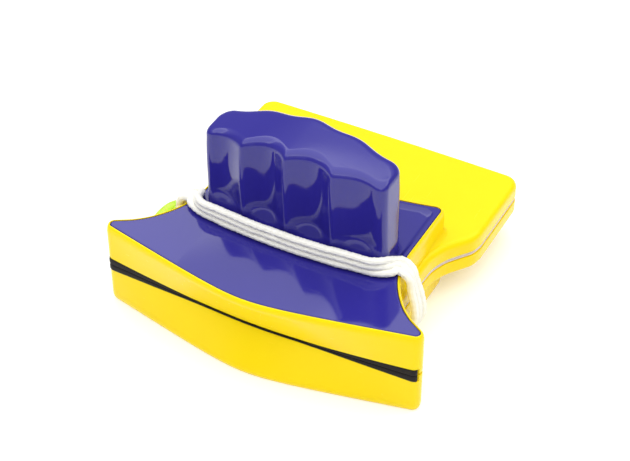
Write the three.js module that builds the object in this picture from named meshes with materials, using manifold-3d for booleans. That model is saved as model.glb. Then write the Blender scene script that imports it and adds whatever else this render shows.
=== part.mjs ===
// Magnetic glass cleaner: two hourglass-shaped halves that clamp a window pane between them by magnets.
// Millimetres. +Z is up, +Y runs from the wide wiping edge to the flange, and left mirrors right across X = 0.
// The origin is at the middle of the base. The outer half lies below, the half with the grip on top.
import * as THREE from "three";
import { mergeVertices } from "three/addons/utils/BufferGeometryUtils.js";
import Module from "manifold-3d";

// ---- Driving dimensions -------------------------------------------------------------------------
// Every half is drawn in its own frame: z = 0 is the glass plane and z grows outwards, y = 0 joins the
// two front corners.
const HALF_HEIGHT = 19;
const FLANGE_HEIGHT = 8;
const FACE_HEIGHT = 1.05;
const LIP_HEIGHT = 0.5;
const LIP_ARCH_HEIGHT = 3;
const LIP_ARCH_START = 20;
const BOW_AT_LIP = 5;
const BOW_AT_RIM = 13;
const BOW_FULL_HEIGHT = 17;
const CORNER_CENTRE = [64.2, 2.2];
const CORNER_RADIUS = 3.3;
const FRONT_END = [64.6, -1.07];
const FRONT_BEND = 14.6;
const FLANGE_REAR = 114;
const FLANGE_HALF_WIDTH = 59;
const FLANGE_CORNER_RADIUS = 6;
const BLOCK_REAR = 70.5;
const BLOCK_REAR_HOLLOW = 5;
const RIM_WIDTH = 1.3;
const GAP = 0.3;
const WALL = 3.2;
const SEAT_HEIGHT = 15.3;
const WEB_TOP = 7.5;
const WEB_BOTTOM = 3.7;
const FIRST_Y = -50.5;

const GRIP_CENTRE_Y = 34.4;
const GRIP_HALF_LENGTH = 39;
const GRIP_HALF_THICKNESS = 13.5;
const GRIP_END_THICKNESS = 10.5;
const GRIP_CORNER_RADIUS = 5;
const GRIP_RIDGE_PITCH = 19.5;
const GRIP_TOP = 64;
const GRIP_END_DROP = 4.2;

const CORD_DIAMETER = 2.7;
const CORD_SIDES = 8;
const RING_RADIUS = 10.9;
const RING_SECTION = 2.1;

const BOSSES = [[44, 9], [-44, 9], [36, 57], [-36, 57]];
const SHANK_RADIUS = 1.3;
const HEAD_RADIUS = 2.6;
const TROUGH = { y0: 24.6, y1: 35.2, floor: 15.4, thickness: 2 };

const COLOURS = { yellow: 0xf6e011, blue: 0x2c2a9a, rubber: 0x1c1a18, steel: 0xb9bcc0, magnet: 0x8d9094 };

// ---- Solids -------------------------------------------------------------------------------------
const wasm = await Module();
wasm.setup();

function solid(geometry) {
  const bare = geometry.clone();
  bare.deleteAttribute("normal");
  bare.deleteAttribute("uv");
  const merged = mergeVertices(bare, 1e-3);
  return new wasm.Manifold(new wasm.Mesh({
    numProp: 3,
    vertProperties: merged.attributes.position.array,
    triVerts: new Uint32Array(merged.index.array),
  }));
}

function geometryOf(body) {
  const mesh = body.getMesh();
  const geometry = new THREE.BufferGeometry();
  geometry.setAttribute("position", new THREE.Float32BufferAttribute(mesh.vertProperties, 3));
  geometry.setIndex(new THREE.Uint32BufferAttribute(mesh.triVerts, 1));
  return geometry;
}

// A closed skin over rings of equally many points, given from the lowest to the highest and anticlockwise.
function loft(rings) {
  const count = rings[0].length;
  const faces = [];
  for (let level = 0; level + 1 < rings.length; level += 1) {
    for (let i = 0; i < count; i += 1) {
      const next = (i + 1) % count;
      const a = level * count + i;
      const b = level * count + next;
      faces.push(a, b, b + count, a, b + count, a + count);
    }
  }
  const cap = (points) => THREE.ShapeUtils.triangulateShape(points.map((p) => new THREE.Vector2(p.x, p.y)), []);
  const top = (rings.length - 1) * count;
  cap(rings[0]).forEach(([a, b, c]) => faces.push(c, b, a));
  cap(rings[rings.length - 1]).forEach(([a, b, c]) => faces.push(top + a, top + b, top + c));
  const geometry = new THREE.BufferGeometry();
  const places = rings.flat().flatMap((p) => [p.x, p.y, p.z]);
  geometry.setAttribute("position", new THREE.Float32BufferAttribute(places, 3));
  geometry.setIndex(faces);
  return solid(geometry);
}

function prism(points, z0, z1) {
  const shape = new THREE.Shape(points);
  const geometry = new THREE.ExtrudeGeometry(shape, { depth: z1 - z0, bevelEnabled: false });
  return solid(geometry.translate(0, 0, z0));
}

function block(width, depth, height, x, y, z) {
  return solid(new THREE.BoxGeometry(width, depth, height).translate(x, y, z + height / 2));
}

function post(radius, z0, z1, x, y, sides = 20) {
  const geometry = new THREE.CylinderGeometry(radius, radius, z1 - z0, sides);
  return solid(geometry.rotateX(Math.PI / 2).translate(x, y, (z0 + z1) / 2));
}

function piece(name, body, colour, roughness, metalness = 0) {
  const geometry = body.isBufferGeometry ? body : geometryOf(body);
  const material = new THREE.MeshStandardMaterial({ color: colour, roughness, metalness });
  const mesh = new THREE.Mesh(geometry, material);
  mesh.name = name;
  return mesh;
}

// ---- Outlines -----------------------------------------------------------------------------------
// Half outlines run from the middle of the front edge round the right side to the middle of the rear edge.
function frontY(x, bow) {
  const bulge = (distance) => Math.hypot(distance, FRONT_BEND) - FRONT_BEND;
  return -bow + ((bow + FRONT_END[1]) * bulge(x)) / bulge(FRONT_END[0]);
}

function frontEdge(bow) {
  const steps = 9;
  const share = (i) => (FRONT_END[0] * i) / steps;
  return Array.from({ length: steps }, (_, i) => new THREE.Vector2(share(i), frontY(share(i), bow)));
}

function arc(x, y, radius, from, to, steps) {
  const points = [];
  for (let i = 0; i <= steps; i += 1) {
    const angle = THREE.MathUtils.degToRad(from + ((to - from) * i) / steps);
    points.push(new THREE.Vector2(x + radius * Math.cos(angle), y + radius * Math.sin(angle)));
  }
  return points;
}

function throughPoints(pairs, steps) {
  return new THREE.SplineCurve(pairs.map(([x, y]) => new THREE.Vector2(x, y))).getPoints(steps);
}

function mirrored(half) {
  const left = half.filter((p) => p.x > 1e-6).map((p) => new THREE.Vector2(-p.x, p.y));
  return [...half, ...left.reverse()];
}

function blockOutline(bow) {
  const corner = arc(...CORNER_CENTRE, CORNER_RADIUS, -83, 58, 5);
  const side = throughPoints([[60.3, 8.4], [56.2, 11.9], [52.8, 15.9], [49.9, 20.2], [47.4, 25.2],
    [45.8, 30.3], [45.1, 37], [45.2, 50], [45.4, 66]], 12);
  const rearCorner = arc(41.9, 67, 3.5, 0, 80, 3);
  const rearY = (x) => BLOCK_REAR - BLOCK_REAR_HOLLOW * (1 - (x / 41) ** 2);
  const rear = [28, 14, 0].map((x) => new THREE.Vector2(x, rearY(x)));
  return mirrored([...frontEdge(bow), ...corner, ...side, ...rearCorner, ...rear]);
}

function flangeOutline() {
  const neck = throughPoints([[46.9, 25.4], [47.25, 29], [47.2, 44], [47.8, 54], [50.4, 61], [54.2, 66.5],
    [57.4, 71], [58.7, 76]], 13);
  const straight = FLANGE_HALF_WIDTH;
  const centreY = FLANGE_REAR - FLANGE_CORNER_RADIUS;
  const corner = arc(straight - FLANGE_CORNER_RADIUS, centreY, FLANGE_CORNER_RADIUS, 0, 90, 5);
  const start = new THREE.Vector2(38, 17);
  return mirrored([new THREE.Vector2(0, 17), start, ...neck, ...corner, new THREE.Vector2(0, FLANGE_REAR)]);
}

// Moves an outline inwards. Points that would come closer to the edge than the distance are left out.
function inset(outline, distance, tidy = false) {
  const count = outline.length;
  const moved = outline.map((p, i) => {
    const before = outline[(i + count - 1) % count];
    const after = outline[(i + 1) % count];
    const along = after.clone().sub(before).normalize();
    return new THREE.Vector2(p.x - along.y * distance, p.y + along.x * distance);
  });
  return tidy ? moved.filter((q) => edgeDistance(q, outline) > distance - 0.06) : moved;
}

function edgeDistance(q, outline) {
  let nearest = Infinity;
  outline.forEach((a, i) => {
    const b = outline[(i + 1) % outline.length];
    const ab = b.clone().sub(a);
    const share = THREE.MathUtils.clamp(q.clone().sub(a).dot(ab) / Math.max(ab.lengthSq(), 1e-9), 0, 1);
    nearest = Math.min(nearest, q.distanceTo(a.clone().addScaledVector(ab, share)));
  });
  return nearest;
}

function ring(outline, z) {
  return outline.map((p) => new THREE.Vector3(p.x, p.y, z));
}

function bowAt(z) {
  const share = Math.min(1, (z - LIP_HEIGHT) / (BOW_FULL_HEIGHT - LIP_HEIGHT));
  return BOW_AT_LIP + share * (BOW_AT_RIM - BOW_AT_LIP);
}

const clothOutline = inset(flangeOutline(), 1.2, true).filter((p) => p.y > 17.5);
const rimOutline = blockOutline(BOW_AT_RIM);

// ---- Blade --------------------------------------------------------------------------------------
// The blade stands behind the thin front lip and follows its bow.
const BLADE_HALF_LENGTH = 64;
const BLADE_SET_BACK = 1;
const BLADE_THICKNESS = 2.2;
const BLADE_TOP = 6.2;

function bladeBand(grow) {
  const front = [];
  const steps = 14;
  for (let i = -steps; i <= steps; i += 1) {
    const x = ((BLADE_HALF_LENGTH + grow) * i) / steps;
    front.push(new THREE.Vector2(x, frontY(x, BOW_AT_LIP)));
  }
  const shifted = (distance) => front.map((p) => new THREE.Vector2(p.x, p.y + distance));
  return [...shifted(BLADE_SET_BACK - grow), ...shifted(BLADE_SET_BACK + BLADE_THICKNESS + grow).reverse()];
}

// ---- Frame --------------------------------------------------------------------------------------
// The front lip rises in a shallow arch towards each corner, so that the blade shows there.
function lipArch() {
  const far = 65.6;
  const points = [[-far, -2], [far, -2], [far, LIP_ARCH_HEIGHT], [LIP_ARCH_START, LIP_HEIGHT]];
  points.push([-LIP_ARCH_START, LIP_HEIGHT], [-far, LIP_ARCH_HEIGHT]);
  const shape = new THREE.Shape(points.map(([x, z]) => new THREE.Vector2(x, z)));
  const geometry = new THREE.ExtrudeGeometry(shape, { depth: 21, bevelEnabled: false });
  return solid(geometry.rotateX(Math.PI / 2).translate(0, 0.8, 0));
}

function frameBody() {
  const levels = [[LIP_HEIGHT, 0], [5, 0], [11, 0], [17, 0], [18.4, 0.35], [HALF_HEIGHT, 1]];
  const rings = levels.map(([z, edge]) => ring(inset(blockOutline(bowAt(z)), edge), z));
  const flange = flangeOutline();
  const flangeLevels = [[FACE_HEIGHT, 0], [FLANGE_HEIGHT - 2.4, 0], [FLANGE_HEIGHT - 0.7, 0.7]];
  flangeLevels.push([FLANGE_HEIGHT, 2.2]);
  const flangeRings = flangeLevels.map(([z, edge]) => ring(inset(flange, edge), z));
  const coverOpening = prism(inset(rimOutline, RIM_WIDTH, true), SEAT_HEIGHT, HALF_HEIGHT + 1);
  const cavity = prism(inset(blockOutline(bowAt(WEB_TOP)), WALL, true), WEB_TOP, SEAT_HEIGHT + 0.5);
  const padRecess = prism(inset(clothOutline, 2, true), -1, WEB_BOTTOM);
  const clothRecess = prism(inset(clothOutline, -GAP), -1, FACE_HEIGHT);
  let body = loft(rings).add(loft(flangeRings)).subtract(coverOpening).subtract(cavity);
  body = body.subtract(padRecess).subtract(clothRecess);
  body = body.subtract(prism(bladeBand(GAP), -1, BLADE_TOP + GAP)).subtract(lipArch());
  BOSSES.forEach(([x, y]) => {
    body = body.subtract(post(SHANK_RADIUS + GAP, 0, WEB_TOP + 1, x, y));
    body = body.subtract(post(HEAD_RADIUS + GAP, 0, WEB_BOTTOM + 2, x, y));
  });
  MAGNETS.forEach(({ width, depth, y }) => {
    body = body.subtract(block(width + 2 * GAP, depth + 2 * GAP, 2, 0, y, MAGNET_BOTTOM - GAP));
  });
  return body;
}

// ---- Magnets, keepers, pads and screws ----------------------------------------------------------
const MAGNET_BOTTOM = 7;
const MAGNET_HEIGHT = 4.5;
const KEEPER_HEIGHT = 2;
const MAGNETS = [
  { name: "front", width: 70, depth: 17, y: 9.5 },
  { name: "rear", width: 58, depth: 20, y: 48.5 },
];

function screwProfile() {
  const head = [[0, 3.9], [HEAD_RADIUS - 0.4, 3.9], [HEAD_RADIUS, 4.4]];
  const shank = [[SHANK_RADIUS, 5.6], [SHANK_RADIUS, 12.6], [0, 13.8]];
  return [...head, ...shank].map(([r, z]) => new THREE.Vector2(r, z));
}

// The pieces that both halves have. Each half's name goes before the piece's.
function innerPieces(half) {
  const pieces = [];
  MAGNETS.forEach(({ name, width, depth, y }) => {
    const magnetZ = MAGNET_BOTTOM + MAGNET_HEIGHT / 2;
    const magnet = new THREE.BoxGeometry(width, depth, MAGNET_HEIGHT).translate(0, y, magnetZ);
    const keeperZ = MAGNET_BOTTOM + MAGNET_HEIGHT + GAP + KEEPER_HEIGHT / 2;
    const keeper = new THREE.BoxGeometry(width + 4, depth + 2, KEEPER_HEIGHT).translate(0, y, keeperZ);
    pieces.push(piece(`${half}_${name}_magnet`, magnet, COLOURS.magnet, 0.35, 1));
    pieces.push(piece(`${half}_${name}_keeper_plate`, keeper, COLOURS.steel, 0.4, 1));
  });
  const spongeOutline = inset(clothOutline, 2 + GAP, true);
  const sponge = prism(spongeOutline, FACE_HEIGHT, WEB_BOTTOM - GAP);
  const cloth = prism(clothOutline, GAP / 2, FACE_HEIGHT - GAP);
  pieces.push(piece(`${half}_pad_sponge`, sponge, 0xe8d9c9, 0.95));
  pieces.push(piece(`${half}_pad_cloth`, cloth, 0xf4ece2, 0.95));
  pieces.push(piece(`${half}_blade`, prism(bladeBand(0), GAP / 2, BLADE_TOP), COLOURS.rubber, 0.6));
  BOSSES.forEach(([x, y], i) => {
    const screw = new THREE.LatheGeometry(screwProfile(), 14).rotateX(Math.PI / 2).translate(x, y, 0);
    pieces.push(piece(`${half}_screw_${i + 1}`, screw, COLOURS.steel, 0.35, 1));
  });
  return pieces;
}

// ---- Covers -------------------------------------------------------------------------------------
const coverOutline = inset(rimOutline, RIM_WIDTH + GAP, true);

function coverPlate() {
  const levels = [[SEAT_HEIGHT + GAP, 0], [HALF_HEIGHT - 0.7, 0], [HALF_HEIGHT, 0.6]];
  return loft(levels.map(([z, edge]) => ring(inset(coverOutline, edge), z)));
}

function bosses() {
  return BOSSES.map(([x, y]) => post(SHANK_RADIUS + 2, WEB_TOP + GAP, SEAT_HEIGHT + 1, x, y));
}

function bossHoles(body) {
  return BOSSES.reduce((rest, [x, y]) => rest.subtract(post(SHANK_RADIUS + GAP, 0, 14.2, x, y)), body);
}

// Half the grip's thickness at x, with the finger grooves faded in by share.
function gripThickness(x, share) {
  const straight = GRIP_HALF_LENGTH - GRIP_CORNER_RADIUS;
  const barrel = (GRIP_HALF_THICKNESS - GRIP_END_THICKNESS) * (Math.abs(x) / GRIP_HALF_LENGTH) ** 2;
  const over = Math.max(0, Math.abs(x) - straight);
  const round = GRIP_CORNER_RADIUS - Math.sqrt(Math.max(0, GRIP_CORNER_RADIUS ** 2 - over ** 2));
  const outer = Math.abs(x) > GRIP_RIDGE_PITCH;
  const groove = (outer ? 3 : 4.2) * Math.abs(Math.sin((Math.PI * x) / GRIP_RIDGE_PITCH)) ** 0.8;
  return GRIP_HALF_THICKNESS - barrel - round - groove * share;
}

function gripRing(z, share, shrink) {
  const steps = 32;
  const spread = THREE.MathUtils.degToRad(85);
  const front = [];
  for (let i = -steps; i <= steps; i += 1) {
    const x = (GRIP_HALF_LENGTH * Math.sin((spread * i) / steps)) / Math.sin(spread);
    const drop = GRIP_END_DROP * (Math.abs(x) / 37) ** 1.5;
    const height = z < GRIP_TOP - 16 ? z : z - (drop * (z - (GRIP_TOP - 16))) / 16;
    const thickness = gripThickness(x, share) - shrink;
    front.push(new THREE.Vector3(x * (1 - (shrink * 1.3) / GRIP_HALF_LENGTH), thickness, height));
  }
  const rear = front.map((p) => new THREE.Vector3(p.x, GRIP_CENTRE_Y + p.y, p.z)).reverse();
  return [...front.map((p) => new THREE.Vector3(p.x, GRIP_CENTRE_Y - p.y, p.z)), ...rear];
}

function gripCover() {
  const edge = 5;
  const levels = [[17, 0, 0], [25, 0, 0], [32, 1, 0], [46, 1, -0.4], [GRIP_TOP - edge, 1, 0]];
  [30, 60, 90].forEach((degrees) => {
    const angle = THREE.MathUtils.degToRad(degrees);
    levels.push([GRIP_TOP - edge + edge * Math.sin(angle), 1, edge * (1 - Math.cos(angle))]);
  });
  const grip = loft(levels.map(([z, share, shrink]) => gripRing(z, share, shrink)));
  const hollow = block(2 * GRIP_HALF_LENGTH - 12, 2 * GRIP_END_THICKNESS - 8, 40, 0, GRIP_CENTRE_Y, 14);
  const recess = block(79, 15, 4, 0, 55.5, HALF_HEIGHT - 1.5);
  const plate = coverPlate().subtract(recess);
  const body = [...bosses(), grip].reduce((whole, next) => whole.add(next), plate);
  return bossHoles(body.subtract(hollow));
}

// The cover of the outer half has a trough across its waist, where the cord lies clear of the table.
function troughCut(grow) {
  const { y0, y1, floor } = TROUGH;
  const bend = { x: 43.8, z: 11.6, radius: 3.8 };
  const side = arc(bend.x, bend.z, bend.radius, 0, 90, 6);
  const right = [new THREE.Vector2(52, bend.z), ...side, new THREE.Vector2(40, floor)].reverse();
  const left = right.map((p) => new THREE.Vector2(-p.x, p.y)).reverse();
  const top = [new THREE.Vector2(52, 22), new THREE.Vector2(-52, 22)];
  const shape = new THREE.Shape([...left, ...right, ...top]);
  const depth = y1 - y0 + 2 * grow;
  const geometry = new THREE.ExtrudeGeometry(shape, { depth, bevelEnabled: false });
  return solid(geometry.rotateX(Math.PI / 2).translate(0, y1 + grow, 0));
}

function outerCover() {
  const { y0, y1, floor, thickness } = TROUGH;
  const bedHeight = HALF_HEIGHT - 1 - floor + thickness;
  const bed = block(82.5, y1 - y0 + 4, bedHeight, 0, (y0 + y1) / 2, floor - thickness);
  const body = bosses().reduce((whole, next) => whole.add(next), coverPlate().add(bed));
  return bossHoles(body.subtract(troughCut(0)));
}

// The eyelet under the left side of the flange holds the end of the cord.
const EYELET = { x: 48.2, y: 44.5, z: 13, hole: CORD_DIAMETER / 2 + GAP };

function eyelet() {
  const hole = new THREE.CylinderGeometry(EYELET.hole, EYELET.hole, 10, 16);
  hole.translate(EYELET.x, EYELET.y, EYELET.z);
  return block(7, 3, 6, EYELET.x - 0.7, EYELET.y, EYELET.z - 3).subtract(solid(hole));
}

// ---- Cord and ring ------------------------------------------------------------------------------
// The route is written in the halves' frame, with z counted up from the glass plane. The cord starts in a
// knot behind the eyelet, goes round the waist three times, each turn in front of the last, and ends at the
// ring. Each turn bulges out by its slack beside the right of the waist.
const BEND_RADIUS = 5.5;
const TOP_Z = 21;
const BOTTOM_Z = -17.05;
const STRANDS = [
  {
    y: 33,
    side: 49.4,
    slack: 4,
    front: [[42.2, 31.2, 21.9], [41.2, 28.2, 23.8], [39.1, 23.6, 25.9], [35.5, 21.3, 26.4], [29, 20.7, 26.6],
      [15, 19.2, 26.8], [0, 18.9, 26.8]],
  },
  {
    y: 30,
    side: 49.7,
    slack: 3.3,
    front: [[42.3, 27.4, 21.9], [40.8, 24.9, 23], [38, 22.5, 23.6], [34.5, 21.2, 23.8], [29, 20.7, 23.9],
      [15, 19.2, 24], [0, 18.9, 24]],
  },
  {
    y: 27,
    side: 50.4,
    slack: 2.4,
    front: [[43.6, 24.9, 20.9], [40.6, 22.9, 20.9], [36, 21.5, 21], [30, 20.7, 21.1], [15, 19.2, 21.2],
      [0, 18.9, 21.2]],
  },
];
const CORD_START = [[-48.2, 47.5, -13], [-48.2, 44.5, -13], [-48.2, 41, -13], [-47.6, 37.3, -14.2],
  [-46.9, 34.6, -16], [-44.5, 33.1, -17]];
const CORD_END = [[-50.6, 27, 9], [-51.6, 27.6, 6.2], [-52.5, 29.4, 4.4], [-52.6, 31.8, 3.8],
  [-52.1, 34.2, 3.9]];

function bend(side, centreX, centreZ, y, from, to) {
  return arc(centreX, centreZ, BEND_RADIUS, from, to, 2).map((p) => [side * p.x, y, p.y]);
}

function cordRoute() {
  const route = [...CORD_START];
  STRANDS.forEach(({ y, side, slack, front }, turn) => {
    const centreX = side - BEND_RADIUS;
    const lowZ = BOTTOM_Z + BEND_RADIUS;
    const highZ = TOP_Z - BEND_RADIUS;
    if (turn > 0) {
      const before = STRANDS[turn - 1];
      route.push([-(before.side + side) / 2, (before.y + y) / 2, 0], ...bend(-1, centreX, lowZ, y, 0, -90));
    }
    route.push([-22, y, BOTTOM_Z], [22, y, BOTTOM_Z]);
    route.push(...bend(1, centreX, lowZ, y, -90, 0));
    route.push([side + slack, y, 0]);
    route.push(...bend(1, centreX, highZ, y, 0, 90));
    route.push(...front, ...front.slice(0, -1).reverse().map(([x, frontY, z]) => [-x, frontY, z]));
    route.push(...bend(-1, centreX, highZ, y, 90, 0));
  });
  route.push(...CORD_END);
  return route.map((p) => new THREE.Vector3(...p));
}

// A curve that is stepped from one route point to the next, so that every bend keeps its own points.
class Route extends THREE.CatmullRomCurve3 {
  getPointAt(share, target) {
    return this.getPoint(share, target);
  }

  getTangentAt(share, target) {
    return this.getTangent(share, target);
  }
}

function cordGeometry() {
  const points = cordRoute();
  const path = new Route(points, false, "centripetal");
  const section = new THREE.Shape(arc(0, 0, CORD_DIAMETER / 2, 0, 360 - 360 / CORD_SIDES, CORD_SIDES - 1));
  return new THREE.ExtrudeGeometry(section, { steps: points.length - 1, extrudePath: path });
}

const RING_PLACE = [-56.2, 28, -0.6];
const RING_YAW = 15;

// ---- Assembly -----------------------------------------------------------------------------------
const cleaner = new THREE.Group();
const halves = new THREE.Group();
halves.position.set(0, FIRST_Y, HALF_HEIGHT);
cleaner.add(halves);

const upperHalf = new THREE.Group();
upperHalf.add(piece("upper_frame", frameBody(), COLOURS.yellow, 0.4));
upperHalf.add(piece("grip_cover", gripCover(), COLOURS.blue, 0.12));
upperHalf.add(...innerPieces("upper"));
halves.add(upperHalf);

// The outer half is the same frame turned over about the Y axis.
const lowerHalf = new THREE.Group();
lowerHalf.rotation.y = Math.PI;
const lowerFrame = frameBody().add(eyelet()).subtract(troughCut(0));
lowerHalf.add(piece("lower_frame", lowerFrame, COLOURS.yellow, 0.4));
lowerHalf.add(piece("lower_cover", outerCover(), COLOURS.blue, 0.12));
lowerHalf.add(...innerPieces("lower"));
halves.add(lowerHalf);

halves.add(piece("safety_cord", cordGeometry(), 0xf3efe6, 0.95));
const ringShape = new THREE.TorusGeometry(RING_RADIUS, RING_SECTION, 10, 32);
const fingerRing = piece("finger_ring", ringShape, 0xb9ec3a, 0.3);
fingerRing.rotation.y = Math.PI / 2;
const ringStand = new THREE.Group();
ringStand.position.set(...RING_PLACE);
ringStand.rotation.z = THREE.MathUtils.degToRad(-RING_YAW);
ringStand.add(fingerRing);
halves.add(ringStand);
const knot = piece("cord_knot", new THREE.SphereGeometry(2.5, 12, 8), 0xf3efe6, 0.95);
knot.position.set(-EYELET.x, 50.3, -EYELET.z);
halves.add(knot);

export default cleaner;
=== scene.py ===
import math

import bmesh
import bpy
from mathutils import Euler, Matrix, Vector, noise


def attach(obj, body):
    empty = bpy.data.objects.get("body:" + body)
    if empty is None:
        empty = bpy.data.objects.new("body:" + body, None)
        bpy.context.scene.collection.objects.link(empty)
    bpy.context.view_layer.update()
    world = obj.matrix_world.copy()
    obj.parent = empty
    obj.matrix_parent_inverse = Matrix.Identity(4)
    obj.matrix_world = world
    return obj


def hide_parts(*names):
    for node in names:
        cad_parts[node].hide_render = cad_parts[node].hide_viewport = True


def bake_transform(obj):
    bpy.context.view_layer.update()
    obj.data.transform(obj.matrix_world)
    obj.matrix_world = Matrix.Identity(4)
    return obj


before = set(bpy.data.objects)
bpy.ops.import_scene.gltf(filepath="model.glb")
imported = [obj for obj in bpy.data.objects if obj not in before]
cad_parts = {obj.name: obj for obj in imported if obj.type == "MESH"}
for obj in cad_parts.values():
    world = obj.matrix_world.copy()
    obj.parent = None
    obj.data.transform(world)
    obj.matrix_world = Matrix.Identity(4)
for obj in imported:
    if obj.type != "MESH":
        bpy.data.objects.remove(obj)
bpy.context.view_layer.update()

# ---- Camera -------------------------------------------------------------------------------------
# A short telephoto camera on a stand. It looks down past the front right corner of the cleaner, which lies
# flat in front of it. Roll is the stand's small tilt.
camera_data = bpy.data.cameras.new("camera")
camera_data.lens = 101.7
camera_data.sensor_width = 36
camera_data.clip_start = 0.01
camera_place = (0.2473, -0.4697, 0.4880)
camera = bpy.data.objects.new("camera", camera_data)
bpy.context.collection.objects.link(camera)
camera_azimuth, camera_elevation, camera_roll = (math.radians(degrees) for degrees in (28, 41.2, -0.12))
camera_turn = Euler((math.radians(90) - camera_elevation, 0, camera_azimuth)).to_matrix()
camera_turn = camera_turn @ Matrix.Rotation(camera_roll, 3, "Z")
camera.matrix_world = Matrix.Translation(camera_place) @ camera_turn.to_4x4()
bpy.context.scene.camera = camera

# ---- Safety cord --------------------------------------------------------------------------------
# A limp braided cotton cord. It starts in a knot behind the eyelet of the outer half, goes round the waist of
# the closed cleaner three times and ends tied to the finger ring. Its route is the CAD cord's.
MM = 0.001
FIRST_Y = -50.5
GLASS_Z = 19
CORD_RADIUS = 1.35
CORD_SPACING = 0.55
WANDER_SEED = 1795016599
BEND_RADIUS = 5.5
TOP_Z = 21
BOTTOM_Z = -17.05
# Each turn: its Y, how far out it lies beside the waist, its slack on the right, and its front points.
STRANDS = [
    (33, 49.4, 4, [(42.2, 31.2, 21.9), (41.2, 28.2, 23.8), (39.1, 23.6, 25.9), (35.5, 21.3, 26.4),
                   (29, 20.7, 26.6), (15, 19.2, 26.8), (0, 18.9, 26.8)]),
    (30, 49.7, 3.3, [(42.3, 27.4, 21.9), (40.8, 24.9, 23), (38, 22.5, 23.6), (34.5, 21.2, 23.8),
                     (29, 20.7, 23.9), (15, 19.2, 24), (0, 18.9, 24)]),
    (27, 50.4, 2.4, [(43.6, 24.9, 20.9), (40.6, 22.9, 20.9), (36, 21.5, 21), (30, 20.7, 21.1),
                     (15, 19.2, 21.2), (0, 18.9, 21.2)]),
]
CORD_START = [(-48.2, 47.5, -13), (-48.2, 44.5, -13), (-48.2, 41, -13), (-47.6, 37.3, -14.2),
              (-46.9, 34.6, -16), (-44.5, 33.1, -17)]
CORD_END = [(-50.6, 27, 9), (-51.6, 27.6, 6.2), (-52.5, 29.4, 4.4), (-52.6, 31.8, 3.8), (-52.1, 34.2, 3.9)]


def cord_bend(side, centre_x, centre_z, y, start, end):
    angles = [math.radians(start + (end - start) * i / 4) for i in range(5)]
    reach = [(BEND_RADIUS * math.cos(a), BEND_RADIUS * math.sin(a)) for a in angles]
    return [(side * (centre_x + x), y, centre_z + z) for x, z in reach]


def cord_route():
    route = list(CORD_START)
    for turn, (y, side, slack, front) in enumerate(STRANDS):
        centre_x = side - BEND_RADIUS
        low_z = BOTTOM_Z + BEND_RADIUS
        high_z = TOP_Z - BEND_RADIUS
        if turn:
            last_y, last_side = STRANDS[turn - 1][:2]
            route.append((-(last_side + side) / 2, (last_y + y) / 2, 0))
            route += cord_bend(-1, centre_x, low_z, y, 0, -90)
        route += [(x, y, BOTTOM_Z) for x in (-36, -12, 12, 36)]
        route += cord_bend(1, centre_x, low_z, y, -90, 0)
        route.append((side + slack, y, 0))
        route += cord_bend(1, centre_x, high_z, y, 0, 90)
        route += front + [(-x, front_y, z) for x, front_y, z in reversed(front[:-1])]
        route += cord_bend(-1, centre_x, high_z, y, 90, 0)
    return [Vector(p) for p in route + CORD_END]


def wandering(line):
    """The line moved a little to and fro, as a limp cord lies. Its two ends stay put."""
    reach, fade = 0.22, 30
    last = len(line) - 1
    moved = []
    noise.seed_set(WANDER_SEED)
    for i, point in enumerate(line):
        sway = noise.noise_vector(Vector((i * 0.08, 3.1, 7.7)))
        moved.append(point + sway * reach * min(1, i / fade, (last - i) / fade))
    return moved


def smooth_line(points, spacing):
    """Points a spacing apart on the curve through these points."""
    ends = [points[0] * 2 - points[1], *points, points[-1] * 2 - points[-2]]
    dense = []
    for a, b, c, d in zip(ends, ends[1:], ends[2:], ends[3:]):
        t1 = (b - a).length ** 0.5
        t2 = t1 + (c - b).length ** 0.5
        t3 = t2 + (d - c).length ** 0.5
        for i in range(12):
            t = t1 + (t2 - t1) * i / 12
            ab = a.lerp(b, t / t1)
            bc = b.lerp(c, (t - t1) / (t2 - t1))
            cd = c.lerp(d, (t - t2) / (t3 - t2))
            dense.append(ab.lerp(bc, t / t2).lerp(bc.lerp(cd, (t - t1) / (t3 - t1)), (t - t1) / (t2 - t1)))
    dense.append(points[-1].copy())
    run = [0.0]
    for a, b in zip(dense, dense[1:]):
        run.append(run[-1] + (b - a).length)
    count = max(2, round(run[-1] / spacing))
    even, k = [], 0
    for i in range(count + 1):
        want = run[-1] * i / count
        while k < len(run) - 2 and run[k + 1] < want:
            k += 1
        even.append(dense[k].lerp(dense[k + 1], (want - run[k]) / max(run[k + 1] - run[k], 1e-9)))
    return even


def new_piece(name, mesh):
    piece = bpy.data.objects.new(name, mesh)
    bpy.context.collection.objects.link(piece)
    return piece


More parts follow.
